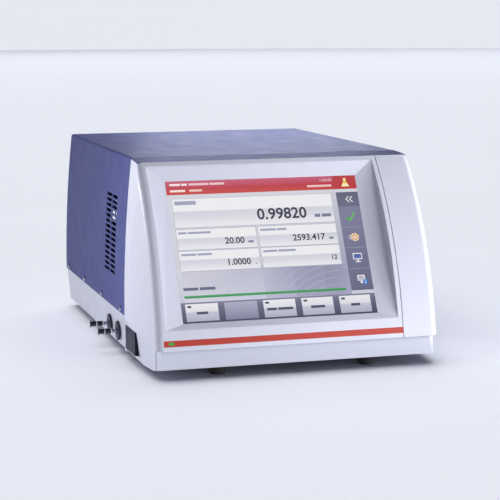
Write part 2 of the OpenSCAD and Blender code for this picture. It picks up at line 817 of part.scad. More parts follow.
module inlet_adapter() { color([0.16, 0.17, 0.2]) at_origin() adapter(port0_y); }
module outlet_adapter() { color([0.16, 0.17, 0.2]) at_origin() adapter(port1_y); }
module inlet_union_nut() { color([0.3, 0.31, 0.36]) at_origin() union_nut(port0_y); }
module outlet_union_nut() { color([0.3, 0.31, 0.36]) at_origin() union_nut(port1_y); }

// Tube from an adapter to a glass leg: two opposite quarter bends and straight ends
module s_tube(dir, y) {
    straight = 6;
    translate([tube_x0, y, port_z]) difference() {
        s_run(dir, straight, tube_r);
        s_run(dir, straight, 0.8);
    }
}

module s_run(dir, straight, r) {
    x1 = cell_x0 - tube_x0;
    rotate([0, 90, 0]) cylinder(r = r, h = straight, $fn = 32);
    translate([straight, dir * bend_r, 0]) rotate([0, 0, dir > 0 ? -90 : 0])
        rotate_extrude(angle = 90, $fn = 64) translate([bend_r, 0]) circle(r = r, $fn = 32);
    translate([straight + 2 * bend_r, dir * bend_r, 0]) rotate([0, 0, dir > 0 ? 90 : 180])
        rotate_extrude(angle = 90, $fn = 64) translate([bend_r, 0]) circle(r = r, $fn = 32);
    translate([straight + 2 * bend_r, dir * 2 * bend_r, 0]) rotate([0, 90, 0])
        cylinder(r = r, h = x1 - straight - 2 * bend_r, $fn = 32);
}

module inlet_tube() { color([0.9, 0.92, 0.9]) at_origin() s_tube(1, port0_y); }
module outlet_tube() { color([0.9, 0.92, 0.9]) at_origin() s_tube(-1, port1_y); }

cell_wall = 8;
module cell_block() {
    color([0.72, 0.74, 0.76]) at_origin() difference() {
        translate([cell_x0, cell_y - cell_w / 2, floor_z]) cube([cell_l, cell_w, cell_h]);
        translate([cell_x0 + cell_wall, cell_y - cell_w / 2 + cell_wall, port_z - 8])
            cube([cell_l - 2 * cell_wall, cell_w - 2 * cell_wall, cell_h]);
        for (s = [-1, 1]) translate([cell_x0 - 1, cell_y + s * leg_pitch / 2, port_z])
            rotate([0, 90, 0]) cylinder(r = glass_r + run, h = cell_wall + 2, $fn = 32);
    }
}

lid_t = 5;
module cell_lid() {
    color([0.66, 0.68, 0.7]) at_origin()
        translate([cell_x0, cell_y - cell_w / 2, floor_z + cell_h]) cube([cell_l, cell_w, lid_t]);
}

tube_end = 8;                           // the glass bend's distance from the far wall
tube_wall = 0.6;
module oscillator_u_tube() {
    leg = cell_l - 2 * cell_wall - leg_pitch / 2 - tube_end;
    color([0.8, 0.88, 0.92]) at_origin() translate([cell_x0, cell_y, port_z]) difference() {
        u_run(leg + cell_wall, glass_r);
        u_run(leg + cell_wall, glass_r - tube_wall);
    }
}

module u_run(leg, r) {
    for (s = [-1, 1]) translate([0, s * leg_pitch / 2, 0]) rotate([0, 90, 0])
        cylinder(r = r, h = leg, $fn = 32);
    translate([leg, 0, 0]) rotate([0, 0, -90]) rotate_extrude(angle = 180, $fn = 64)
        translate([leg_pitch / 2, 0]) circle(r = r, $fn = 32);
}

sink_in = 10;
sink_t = 5;
fin = [1.5, 32];
module heat_sink() {
    z0 = floor_z + cell_h + lid_t;
    width = cell_l - 2 * sink_in;
    color([0.55, 0.57, 0.6]) at_origin()
        translate([cell_x0 + sink_in, cell_y - cell_w / 2, z0]) {
            cube([width, cell_w, sink_t]);
            for (i = [0 : fins - 1]) translate([i * (width - fin[0]) / (fins - 1), 0, 0])
                cube([fin[0], cell_w, fin[1]]);
        }
}

// Rear: panel with its cut-outs, fan, mains entry and interfaces
fan_rim = 3;                            // fan's frame outside its duct
fan_screw_x = fan_w / 2 - 4.3;          // fan's screws from its middle
tab = [20, 14];
inlet_body = [27.4, 20.4];
switch_body = [15.6, 23.6];

// Window through the rear panel, with a small gap round what it takes
module panel_window(x, z, w, h) {
    gap = 0.25;
    translate([x - w / 2 - gap, panel_y - panel_t - 1, z - h / 2 - gap])
        cube([w + 2 * gap, panel_t + 2, h + 2 * gap]);
}

module rear_panel() {
    color([0.75, 0.76, 0.8]) at_origin() difference() {
        union() {
            along_y(panel_y - panel_t, panel_y)
                arch_section(sheet + slack, cover_z, sheet + slack);
            for (s = [-1, 1]) translate([s * (half_w - 24) - tab[0] / 2, panel_y - tab[1], cover_z + 16])
                cube([tab[0], tab[1] - eps, panel_t]);
        }
        translate([fan_x, panel_y + 1, fan_z]) rotate([90, 0, 0])
            cylinder(r = fan_w / 2 - fan_rim, h = panel_t + 2, $fn = 96);
        panel_window(inlet_x, inlet_z, inlet_body[0], inlet_body[1]);
        panel_window(rocker_x, inlet_z, switch_body[0], switch_body[1]);
        for (p = io_ports()) panel_window(p[0], io_z, p[1], p[2]);
        for (p = rear_screw_points()) translate([p[0], panel_y + 1, p[1]]) rotate([90, 0, 0])
            cylinder(r = screw_r + 0.2, h = panel_t + 2, $fn = 32);
    }
}

// Interfaces on the rear panel: centre in X, width and height
ether_p = [half_w - 157, 16, 13.6];
usb_p = [half_w - 131, 13.4, 14];
serial_p = [half_w - 97, 31, 12.6];
video_p = [half_w - 53, 31, 12.6];
function io_ports() = [ether_p, usb_p, serial_p, video_p];
function rear_screw_points() = [
    for (s = [-1, 1]) [s * (half_w - 14), cover_z + 8],
    for (s = [-1, 1]) [s * (half_w - 22), body_h - 14],
    for (sx = [-1, 1], sz = [-1, 1]) [fan_x + sx * fan_screw_x, fan_z + sz * fan_screw_x]
];

module rear_screws() {
    color([0.75, 0.76, 0.78]) at_origin() for (p = rear_screw_points())
        translate([p[0], panel_y, p[1]]) rotate([-90, 0, 0]) pan_screw(4);
}

fan_hub_r = 15;
fan_strut = [4, 3];
fan_axle_r = 2;
module fan_frame() {
    r = fan_w / 2 - fan_rim;
    back = fan_t - fan_strut[1];
    color([0.12, 0.12, 0.13]) at_origin() translate([fan_x, fan_y1, fan_z]) rotate([90, 0, 0])
        difference() {
            union() {
                difference() {
                    translate([-fan_w / 2, -fan_w / 2, 0]) cube([fan_w, fan_w, fan_t]);
                    translate([0, 0, -1]) cylinder(r = r, h = fan_t + 2, $fn = 96);
                }
                translate([0, 0, back]) cylinder(r = fan_hub_r, h = fan_strut[1], $fn = 64);
                for (a = [45 : 90 : 315]) rotate(a)
                    translate([fan_hub_r - 5, -fan_strut[0] / 2, back])
                        cube([r - fan_hub_r + 7, fan_strut[0], fan_strut[1]]);
                translate([0, 0, 6]) cylinder(r = fan_axle_r, h = back - 5, $fn = 32);
            }
            for (sx = [-1, 1], sy = [-1, 1]) translate([sx * fan_screw_x, sy * fan_screw_x, -1])
                cylinder(r = screw_r + run, h = 8, $fn = 32);
        }
}

blade_t = 1.6;
blade_a = 55;                           // blades' pitch, in degrees
module fan_impeller() {
    r = fan_w / 2 - fan_rim - 1;
    depth = fan_t - 8;
    color([0.16, 0.16, 0.17]) at_origin() translate([fan_x, fan_y1 - 3, fan_z]) rotate([90, 0, 0])
        difference() {
            union() {
                cylinder(r = fan_hub_r + 1, h = depth, $fn = 64);
                for (i = [0 : fan_blades - 1]) rotate(i * 360 / fan_blades) intersection() {
                    translate([0, 0, 1]) cylinder(r = r, h = depth - 2, $fn = 96);
                    translate([fan_hub_r - 3, 0, depth / 2]) rotate([blade_a, 0, 0])
                        translate([0, -fan_t, -blade_t / 2]) cube([r, 2 * fan_t, blade_t]);
                }
            }
            translate([0, 0, 2.9]) cylinder(r = fan_axle_r + run, h = fan_t, $fn = 32);
        }
}

// Wire guard over the fan: rings on four spokes with eyelets at the screws
wire_r = 0.8;
module fan_guard() {
    r0 = 10;
    pitch = 7;
    color([0.7, 0.71, 0.74]) at_origin() translate([fan_x, panel_y + 1.9, fan_z]) rotate([90, 0, 0]) {
        for (r = [r0 : pitch : fan_w / 2 - 2]) rotate_extrude($fn = 96)
            translate([r, 0]) circle(r = wire_r, $fn = 16);
        for (a = [45 : 90 : 315]) rotate(a) translate([r0 - 1, 0, wire_r + 0.1]) rotate([0, 90, 0])
            cylinder(r = wire_r, h = fan_screw_x * sqrt(2) - r0 + 1 - head_r, $fn = 16);
    }
}

// Mains inlet: flange, body, socket and three flat contacts
inlet_flange = [50, 2.5, 24];
inlet_socket = [23.6, 15, 16.2];
contact = [2, 11, 4];
module mains_inlet() {
    depth = 22;
    color([0.1, 0.1, 0.11]) at_origin() translate([inlet_x, panel_y, inlet_z]) {
        difference() {
            union() {
                translate([-inlet_flange[0] / 2, 0, -inlet_flange[2] / 2]) cube(inlet_flange);
                translate([-inlet_body[0] / 2, -depth, -inlet_body[1] / 2])
                    cube([inlet_body[0], depth + eps, inlet_body[1]]);
            }
            translate([-inlet_socket[0] / 2, -inlet_socket[1], -inlet_socket[2] / 2])
                cube(inlet_socket + [0, 5, 0]);
        }
        for (p = [[-7, 1.5], [0, -3.5], [7, 1.5]])
            translate([p[0] - contact[0] / 2, -inlet_socket[1] - 0.5, p[1] - contact[2] / 2]) cube(contact);
    }
}

// Snap-in switch housing beside the mains inlet, with the bearings of the rocker's axle
rocker_w = 10;
rocker_l = 17.2;
rocker_r = 9.5;
rocker_in = 6;                          // axle behind the panel's face
axle_r = 1.5;
axle_l = rocker_w + 2.4;
switch_flange = [20, 2, 28];
module switch_housing() {
    depth = 20;
    hole_w = rocker_w + 2 * slack;
    hole_l = 2 * (rocker_r + slack);
    color([0.1, 0.1, 0.11]) at_origin() translate([rocker_x, panel_y, inlet_z]) difference() {
        union() {
            translate([-switch_flange[0] / 2, 0, -switch_flange[2] / 2]) cube(switch_flange);
            translate([-switch_body[0] / 2, -depth, -switch_body[1] / 2])
                cube([switch_body[0], depth + eps, switch_body[1]]);
        }
        translate([-hole_w / 2, -rocker_in - rocker_r - slack, -hole_l / 2])
            cube([hole_w, 30, hole_l]);
        translate([-axle_l / 2 - slack, -rocker_in, 0]) rotate([0, 90, 0])
            cylinder(r = axle_r + run, h = axle_l + 2 * slack, $fn = 32);
    }
}

// The rocker at rest is pressed to its lower stop
module power_rocker() {
    color([0.15, 0.15, 0.16]) at_origin() translate([rocker_x, panel_y - rocker_in, inlet_z])
        rotate([-rocker_throw, 0, 0]) rotate([0, 90, 0]) {
            intersection() {
                translate([0, 0, -rocker_w / 2]) cylinder(r = rocker_r, h = rocker_w, $fn = 96);
                translate([-rocker_l / 2, -rocker_r, -rocker_w / 2])
                    cube([rocker_l, rocker_r + rocker_in + 0.5, rocker_w]);
            }
            translate([0, 0, -axle_l / 2]) cylinder(r = axle_r, h = axle_l, $fn = 32);
        }
}

// Board behind the interfaces, on which their bodies sit
io_h = 44;
io_margin = 14;
module io_board() {
    x0 = ether_p[0] - io_margin;
    x1 = video_p[0] + video_p[1] / 2 + io_margin;
    color([0.1, 0.4, 0.25]) at_origin() translate([x0, io_y - io_t, io_z - io_h / 2])
        cube([x1 - x0, io_t, io_h]);
}

jack = [12, 8.6];
module ethernet_socket() {
    color([0.75, 0.76, 0.78]) at_origin() translate([ether_p[0], io_y, io_z]) difference() {
        translate([-ether_p[1] / 2, 0, -ether_p[2] / 2]) cube([ether_p[1], panel_y - io_y + 1, ether_p[2]]);
        translate([-jack[0] / 2, 2, -jack[1] / 2 - 0.3]) cube([jack[0], panel_y - io_y, jack[1]]);
    }
}

usb_pitch = 7.2;
module rear_usb_sockets() {
    color([0.75, 0.76, 0.78]) at_origin() for (s = [-1, 1])
        translate([usb_p[0], panel_y + 1, io_z + s * usb_pitch / 2]) rotate([0, 0, -90]) rotate([90, 0, 0])
            usb_shell(panel_y - io_y + 1);
}

// Connector with a D-shaped shell, seen from the rear, on a flange
d_size = [17.4, 8.4];
d_slant = 1.5;
d_nut_x = 12.5;
d_nut_r = 2.4;
module d_shell(length) {
    w = d_size[0] / 2;
    h = d_size[1] / 2;
    rotate([-90, 0, 0]) linear_extrude(height = length)
        polygon([[-w, -h], [w, -h], [w - d_slant, h], [-w + d_slant, h]]);
}

module d_port(p) {
    translate([p[0], io_y, io_z]) {
        translate([-p[1] / 2, 0, -p[2] / 2]) cube([p[1], panel_y - io_y + 0.8, p[2]]);
        d_shell(panel_y - io_y + 5.5);
        for (s = [-1, 1]) translate([s * d_nut_x, 0, 0]) rotate([-90, 0, 0])
            cylinder(r = d_nut_r, h = panel_y - io_y + 5, $fn = 6);
    }
}

module serial_port() { color([0.72, 0.73, 0.76]) at_origin() d_port(serial_p); }
module video_port() { color([0.2, 0.25, 0.5]) at_origin() d_port(video_p); }

// Electronics on the base's floor: the mainboard fills the length up to the power supply
supply = [120, 150, 42];
supply_x = 22;
supply_rear = 25;
supply_slots = 8;
supply_gap = 2;
supply_y = panel_y - supply_rear - supply[1];
board_w = 150;
board_t = 1.6;
board_y = cover_y + 20;
board_l = supply_y - supply_gap - board_y;
board_z = floor_z + 10;
standoff_r = 3;
standoff_in = 6;
shield = [35, 35, 12];
plug = [20, 14, 4];
module mainboard() {
    top = board_z + board_t - eps;
    color([0.1, 0.4, 0.25]) at_origin() {
        translate([0, board_y, board_z]) cube([board_w, board_l, board_t]);
        translate([board_w / 4, board_y + board_l * 0.36, top]) cube(shield);
        for (i = [0 : 3]) translate([board_w * 0.66, board_y + (i + 0.7) * board_l * 0.18, top])
            cube(plug);
    }
}

module board_standoffs() {
    color([0.8, 0.7, 0.4]) at_origin()
        for (x = [standoff_in, board_w - standoff_in], y = [standoff_in, board_l - standoff_in])
            translate([x, board_y + y, floor_z])
                cylinder(r = standoff_r, h = board_z - floor_z, $fn = 6);
}

// Closed power supply with cooling slots in its top
module power_supply() {
    margin = 15;
    slot = [4, supply[1] - 2 * margin, 5];
    pitch = (supply[0] - 2 * margin) / (supply_slots - 1);
    color([0.7, 0.71, 0.73]) at_origin() difference() {
        translate([supply_x, supply_y, floor_z]) cube(supply);
        for (i = [0 : supply_slots - 1])
            translate([supply_x + margin + i * pitch - slot[0] / 2, supply_y + margin,
                floor_z + supply[2] - 2]) cube(slot);
    }
}

base_tub();
top_cover();
front_bezel();
top_trim();
right_front_panel();
rear_panel();
accent_stripe();
status_led();
display_glass();
display_module();
display_bracket();
control_board();
cover_screws();
rear_screws();
foot_front_left();
foot_front_right();
foot_rear_left();
foot_rear_right();
port_bay();
side_sockets();
interface_flap();
flap_hinge_pin();
inlet_adapter();
outlet_adapter();
inlet_union_nut();
outlet_union_nut();
inlet_tube();
outlet_tube();
cell_block();
cell_lid();
oscillator_u_tube();
heat_sink();
fan_frame();
fan_impeller();
fan_guard();
mainboard();
board_standoffs();
power_supply();
mains_inlet();
switch_housing();
power_rocker();
io_board();
ethernet_socket();
rear_usb_sockets();
serial_port();
video_port();
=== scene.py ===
import json
import math

import bmesh
import bpy
from mathutils import Matrix, Vector


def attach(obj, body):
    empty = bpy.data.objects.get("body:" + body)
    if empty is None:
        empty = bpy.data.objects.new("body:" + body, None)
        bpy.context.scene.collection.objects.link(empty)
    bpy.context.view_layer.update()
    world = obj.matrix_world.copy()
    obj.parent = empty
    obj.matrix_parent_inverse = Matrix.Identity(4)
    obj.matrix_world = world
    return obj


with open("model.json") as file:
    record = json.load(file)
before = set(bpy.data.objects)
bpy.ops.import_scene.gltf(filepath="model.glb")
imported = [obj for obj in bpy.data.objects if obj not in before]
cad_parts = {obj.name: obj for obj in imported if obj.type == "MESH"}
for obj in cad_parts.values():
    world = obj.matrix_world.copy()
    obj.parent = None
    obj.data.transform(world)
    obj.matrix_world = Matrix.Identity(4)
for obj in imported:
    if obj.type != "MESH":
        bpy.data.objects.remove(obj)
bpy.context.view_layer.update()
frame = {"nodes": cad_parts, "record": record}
NODES = frame["nodes"]
scene = bpy.context.scene
MM = 0.001

# ---------------------------------------------------------------- materials
A_COLOUR, B_COLOUR, MIXED = 6, 7, 2  # a Mix node's colour inputs and its colour output
NOISE_LOW, NOISE_HIGH = 0.3, 0.7  # the part of a noise's range that shows


def srgb(r, g, b):
    """A screen colour, 0 to 255, as linear light."""

    def lin(c):
        c /= 255
        return c / 12.92 if c <= 0.04045 else ((c + 0.055) / 1.055) ** 2.4

    return (lin(r), lin(g), lin(b), 1.0)


def scaled(c, k):
    return tuple(min(1.0, v * k) for v in c[:3]) + (1.0,)


class Graph:
    """A material's node tree, with short calls for the nodes used here."""

    def __init__(self, name):
        self.mat = bpy.data.materials.new(name)
        self.mat.use_nodes = True
        self.tree = self.mat.node_tree
        self.tree.nodes.clear()
        out = self.add("ShaderNodeOutputMaterial")
        self.bsdf = self.add("ShaderNodeBsdfPrincipled")
        self.link(self.bsdf, "BSDF", out, "Surface")
        self.coord = self.add("ShaderNodeTexCoord")

    def add(self, kind, **values):
        n = self.tree.nodes.new(kind)
        for k, v in values.items():
            setattr(n, k, v)
        return n

    def link(self, a, out, b, into):
        self.tree.links.new(a.outputs[out], b.inputs[into])

    def noise(self, scale, detail=3.0, stretch=None):
        n = self.add("ShaderNodeTexNoise")
        n.inputs["Scale"].default_value = scale
        n.inputs["Detail"].default_value = detail
        if stretch:
            m = self.add("ShaderNodeMapping")
            m.inputs["Scale"].default_value = stretch
            self.link(self.coord, "Object", m, "Vector")
            self.link(m, "Vector", n, "Vector")
        else:
            self.link(self.coord, "Object", n, "Vector")
        return n

    def span(self, source, out, low, high, to_low=0.0, to_high=1.0):
        """Source's output spread so that low and high become to_low and to_high."""
        f = self.add("ShaderNodeMapRange")
        ends = {"From Min": low, "From Max": high, "To Min": to_low, "To Max": to_high}
        for k, v in ends.items():
            f.inputs[k].default_value = v
        self.link(source, out, f, "Value")
        return f

    def mix(self, noise, a, b, low=NOISE_LOW, high=NOISE_HIGH):
        """Colour from a to b as the noise goes from low to high."""
        m = self.add("ShaderNodeMix", data_type="RGBA")
        m.inputs[A_COLOUR].default_value = a
        m.inputs[B_COLOUR].default_value = b
        self.link(self.span(noise, "Fac", low, high), "Result", m, "Factor")
        return m

    def times(self, source, mix):
        """Source's colour multiplied by a mix."""
        m = self.add("ShaderNodeMix", data_type="RGBA", blend_type="MULTIPLY")
        m.inputs["Factor"].default_value = 1.0
        self.link(source, "Color", m, A_COLOUR)
        self.link(mix, MIXED, m, B_COLOUR)
        return m

    def colour(self, mix, socket="Base Color"):
        self.link(mix, MIXED, self.bsdf, socket)

    def rough(self, noise, low, high):
        f = self.span(noise, "Fac", NOISE_LOW, NOISE_HIGH, low, high)
        self.link(f, "Result", self.bsdf, "Roughness")

    def bump(self, noise, strength, distance):
        b = self.add("ShaderNodeBump")
        b.inputs["Strength"].default_value = strength
        b.inputs["Distance"].default_value = distance
        self.link(noise, "Fac", b, "Height")
        self.link(b, "Normal", self.bsdf, "Normal")

    def set(self, sockets):
        for k, v in sockets.items():
            self.bsdf.inputs[k].default_value = v


def finish_of(name, colour, rough, grain, bump, spread, sockets=None):
    """A moulded or painted surface: broad colour drift, grain in the bump, uneven gloss."""
    g = Graph(name)
    shade = srgb(*colour)
    g.colour(g.mix(g.noise(7.0, 2.0), scaled(shade, 1 - spread), scaled(shade, 1 + spread)))
    g.rough(g.noise(40.0), *rough)
    g.bump(g.noise(grain, 2.0), bump, 0.2 * MM)
    g.set(sockets or {})
    return g.mat


def metal(name, colour, rough, stretch, bump):
    """Bare metal: one grain, drawn out by stretch, in the colour, the gloss and the bump."""
    g = Graph(name)
    shade = srgb(*colour)
    grain = g.noise(30.0, 4.0, stretch)
    g.colour(g.mix(grain, scaled(shade, 0.88), scaled(shade, 1.08)))
    g.rough(grain, *rough)
    g.bump(grain, bump, 0.1 * MM)
    g.set({"Metallic": 1.0})
    return g.mat


SHEEN = "Specular IOR Level"
FINISHES = {  # colour, roughness, grain, bump, spread of the colour, other sockets
    "cover_paint": ((78, 84, 142), (0.4, 0.48), 1500, 0.12, 0.02, {SHEEN: 0.04}),
    "light_plastic": ((190, 192, 206), (0.38, 0.46), 1100, 0.1, 0.01),
    "stripe_red": ((170, 43, 25), (0.3, 0.4), 600, 0.05, 0.05),
    "led_green": ((60, 150, 46), (0.3, 0.4), 600, 0.05, 0.08),
    "screen_glass": ((24, 26, 40), (0.08, 0.12), 300, 0.01, 0.1),
    "clear_glass": ((235, 240, 245), (0.03, 0.06), 300, 0.01, 0.02, {"Transmission Weight": 0.9}),
    "black_plastic": ((22, 23, 30), (0.35, 0.5), 900, 0.15, 0.15),
    "nut_plastic": ((44, 46, 64), (0.4, 0.5), 900, 0.1, 0.08, {SHEEN: 0.2}),
    "flap_plastic": ((30, 34, 54), (0.4, 0.5), 900, 0.12, 0.1, {SHEEN: 0.15}),
    "rubber": ((28, 28, 32), (0.7, 0.85), 700, 0.3, 0.15),
    "tube_plastic": ((225, 226, 228), (0.2, 0.3), 500, 0.05, 0.03),
    "board_green": ((28, 92, 58), (0.3, 0.45), 500, 0.1, 0.15),
    "video_blue": ((40, 66, 150), (0.35, 0.5), 900, 0.1, 0.08),
}
METALS = {  # colour, roughness, stretch of the grain, bump
    "bare_metal": ((176, 178, 184), (0.25, 0.4), (1, 1, 60), 0.1),
    "screw_steel": ((190, 192, 198), (0.2, 0.32), (1, 1, 1), 0.05),
    "brass": ((196, 160, 92), (0.25, 0.35), (1, 1, 1), 0.05),
}
MATERIALS = {name: finish_of(name, *values) for name, values in FINISHES.items()}
MATERIALS.update({name: metal(name, *values) for name, values in METALS.items()})


def adapter_material():
    """Dark sleeves with a painted highlight ring behind each, a neck and a dark foot: bands along
    X, in mm.
    """
    # the near-white rings are painted highlights, bright bands where the sleeve's steps catch the
    # light; the dark bands are the sleeves' own colour
    dark, painted_highlight_ring, neck = srgb(26, 28, 42), srgb(222, 224, 236), srgb(150, 153, 176)
    tip, root = -177.0, -150.0
    bands = (
        (-176.0, dark), (-169.5, painted_highlight_ring), (-168.5, dark),
        (-162.0, painted_highlight_ring), (-161.0, neck), (-153.5, dark),
    )
    g = Graph("adapter_painted_highlights")
    split = g.add("ShaderNodeSeparateXYZ")
    g.link(g.coord, "Object", split, "Vector")
    ramp = g.add("ShaderNodeValToRGB")
    ramp.color_ramp.interpolation = "CONSTANT"
    steps = ramp.color_ramp.elements
    while len(steps) < len(bands):
        steps.new(0.5)
    for e, (x, c) in zip(steps, bands):
        e.position = (x - tip) / (root - tip)
        e.color = c
    g.link(g.span(split, "X", tip * MM, root * MM), "Result", ramp, "Fac")
    g.colour(g.times(ramp, g.mix(g.noise(300.0, 2.0), (0.85, 0.85, 0.85, 1), (1, 1, 1, 1))))
    g.rough(g.noise(200.0), 0.3, 0.42)
    g.bump(g.noise(2500.0, 2.0), 0.1, 0.1 * MM)
    return g.mat


def paint(node, mat):
    o = NODES[node]
    o.data.materials.clear()
    o.data.materials.append(mat)


slot_of = {e["node"]: e["material_slot"] for e in frame["record"]["subparts"]}
for n in NODES:
    paint(n, MATERIALS[slot_of.get(n, "light_plastic")])
# the adapters get dark sleeves with painted highlight rings
adapter_painted_highlights = adapter_material()
for n in ("inlet_adapter", "outlet_adapter"):
    paint(n, adapter_painted_highlights)
paint("interface_flap", MATERIALS["flap_plastic"])


# ---------------------------------------------------------------- the touch display
SAME_WAY = 0.999  # least cosine between the normals of one flat face
SAME_PLANE = 0.01 * MM


def face_of(node, toward):
    """The flat face of a CAD node that looks most towards a direction.

    Gives its centre, its directions to the right, up and out, its width and its height.
    """
    me = NODES[node].data
    best = max(me.polygons, key=lambda f: (round(f.normal.dot(toward), 3), f.area))
    n = best.normal.normalized()
    across = Vector((1, 0, 0))
    rise = n.cross(across).normalized()
    depth = best.center.dot(n)
    alike = [f for f in me.polygons if f.normal.dot(n) > SAME_WAY]
    flat = [me.vertices[i].co for f in alike for i in f.vertices]
    flat = [c for c in flat if abs(c.dot(n) - depth) < SAME_PLANE]
    us = [c.dot(across) for c in flat]
    vs = [c.dot(rise) for c in flat]
    u, v = (min(us) + max(us)) / 2, (min(vs) + max(vs)) / 2
    centre = across * u + rise * v + n * depth
    return centre, across, rise, n, max(us) - min(us), max(vs) - min(vs)


GRID_W, GRID_H = 219.0, 161.0  # the layout's grid, from the screen's top left corner


class Picture:
    """Flat pieces in thin layers on the display, each corner with its own colour."""

    RIM = 6 * MM
    LAYER = 0.03 * MM
    DIGIT = 0.72  # height of a digit as the font has it

    def __init__(self):
        toward = Vector((0, -1, 0.5))
        centre, self.across, self.rise, self.n, w, h = face_of("display_glass", toward)
        self.w, self.h = w - 2 * self.RIM, h - 2 * self.RIM
        self.corner = centre - self.across * self.w / 2 + self.rise * self.h / 2
        self.verts, self.faces, self.colours = [], [], []

    def at(self, u, v, layer):
        return (
            self.corner
            + self.across * (self.w * u / GRID_W)
            - self.rise * (self.h * v / GRID_H)
            + self.n * (self.LAYER * (layer + 1))
        )

    def poly(self, points, layer, colours):
        """A convex polygon; colours is one colour, or one for each point."""
        if isinstance(colours[0], (int, float)):
            colours = [colours] * len(points)
        first = len(self.verts)
        self.verts += [self.at(u, v, layer) for u, v in points]
        self.faces.append(list(range(first, first + len(points))))
        self.colours += [srgb(*c) for c in colours]

    def rect(self, u0, v0, u1, v1, layer, *stops):
        """A rectangle shaded from top to bottom; stops are colours, or (share, colour)."""
        last = max(1, len(stops) - 1)
        stops = [s if isinstance(s[1], tuple) else (i / last, s) for i, s in enumerate(stops)]
        if len(stops) == 1:
            stops = [(0, stops[0][1]), (1, stops[0][1])]
        for (f, a), (g, b) in zip(stops, stops[1:]):
            top, low = v0 + (v1 - v0) * f, v0 + (v1 - v0) * g
            self.poly([(u0, low), (u1, low), (u1, top), (u0, top)], layer, [b, b, a, a])

    def disc(self, u, v, r, layer, colour, slices, start=0.0, end=360.0):
        """A disc, or the part of one from an angle to another."""
        for i in range(slices):
            turns = [math.radians(start + (end - start) * k / slices) for k in (i, i + 1)]
            rim = [(u + r * math.cos(t), v + r * math.sin(t)) for t in turns]
            self.poly(rim + [(u, v)], layer, colour)

    def words(self, u, v, height, layer, colour, *widths):
        """Short bars in place of a line of words."""
        for w in widths:
            self.rect(u, v, u + w, v + height, layer, colour)
            u += w + height * 0.45

    def number(self, text, u, v, height, layer, colour, bold=0.022):
        """Digits as flat outlines; u is their right end, v the baseline."""
        data = bpy.data.curves.new("digits", "FONT")
        data.body = text
        data.offset = bold
        data.resolution_u = 3
        o = bpy.data.objects.new("digits", data)
        scene.collection.objects.link(o)
        me = bpy.data.meshes.new_from_object(o.evaluated_get(bpy.context.evaluated_depsgraph_get()))
        bpy.data.objects.remove(o)
        k = height / self.DIGIT
        points = [(p.co.x * k, p.co.y * k) for p in me.vertices]
        left = u - max(x for x, y in points)
        for f in me.polygons:
            self.poly([(left + points[i][0], v - points[i][1]) for i in f.vertices], layer, colour)
        bpy.data.meshes.remove(me)

    def build(self, name, mat):
        me = bpy.data.meshes.new(name)
        me.from_pydata(self.verts, [], self.faces)
        tint = me.color_attributes.new("tint", "FLOAT_COLOR", "CORNER")
        # every face has corners of its own, in the order in which they were added
        for corner, colour in zip(tint.data, self.colours):
            corner.color = colour
        me.materials.append(mat)
        o = bpy.data.objects.new(name, me)
        scene.collection.objects.link(o)
        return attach(o, "housing")


def screen_material():
    g = Graph("screen_picture")
    tint = g.add("ShaderNodeVertexColor", layer_name="tint")
    noise = g.noise(60.0, 2.0)
    vary = g.mix(noise, (0.97, 0.97, 0.97, 1), (1, 1, 1, 1), 0.2, 0.8)
    g.colour(g.times(tint, vary), "Emission Color")
    g.set({"Base Color": (0.02, 0.02, 0.03, 1), "Emission Strength": 0.92})
    g.rough(noise, 0.16, 0.22)
    g.bump(g.noise(900.0, 2.0), 0.02, 0.1 * MM)
    return g.mat


WHITE, INK, LABEL = (240, 240, 242), (38, 38, 58), (158, 160, 186)
HEADER_V = 15.9  # lower edge of the header
TILES_U = 187.0  # right edge of the tiles
SIDE_U = 193.2  # left edge of the side bar
KEYS_V = 138.1  # upper edge of the row of keys
pic = Picture()


def background():
    pic.rect(0, 0, GRID_W, GRID_H, 0, (214, 215, 222), (206, 207, 218))
    # lower area: a grey that darkens to the right
    top, low = 100, 138
    greys = [
        (0, (206, 205, 217)), (95, (184, 185, 203)), (130, (158, 158, 183)),
        (165, (145, 145, 171)), (SIDE_U, (152, 152, 177)),
    ]
    for (u0, c0), (u1, c1) in zip(greys, greys[1:]):
        lit0, lit1 = [v * 1.03 for v in c0], [v * 1.1 for v in c1]
        pic.poly([(u0, low), (u1, low), (u1, top), (u0, top)], 1, [lit0, lit1, c1, c0])
    # thin flat arcs across it, in steps of one degree, kept off its edges
    thick, flatness, foot = 0.35, 0.7, 158
    for i in range(12):
        u, r = 176 + i * 3, 34 + 11.5 * i
        for k in range(90):
            turns = [math.radians(180 + j) for j in (k, k + 1)]
            ends = [(u + r * math.cos(t), foot + r * flatness * math.sin(t)) for t in turns]
            if all(5 < u < 186 and 104 < v < 137.5 for u, v in ends):
                (u0, v0), (u1, v1) = ends
                far = [(u1 + thick, v1 + thick), (u0 + thick, v0 + thick)]
                pic.poly(ends + far, 2, (188, 188, 205))
    pic.rect(0, top, 5, low, 3, (214, 215, 222), (200, 200, 214))
    pic.rect(TILES_U, 19, SIDE_U, 110, 3, (206, 207, 218), (160, 160, 184))


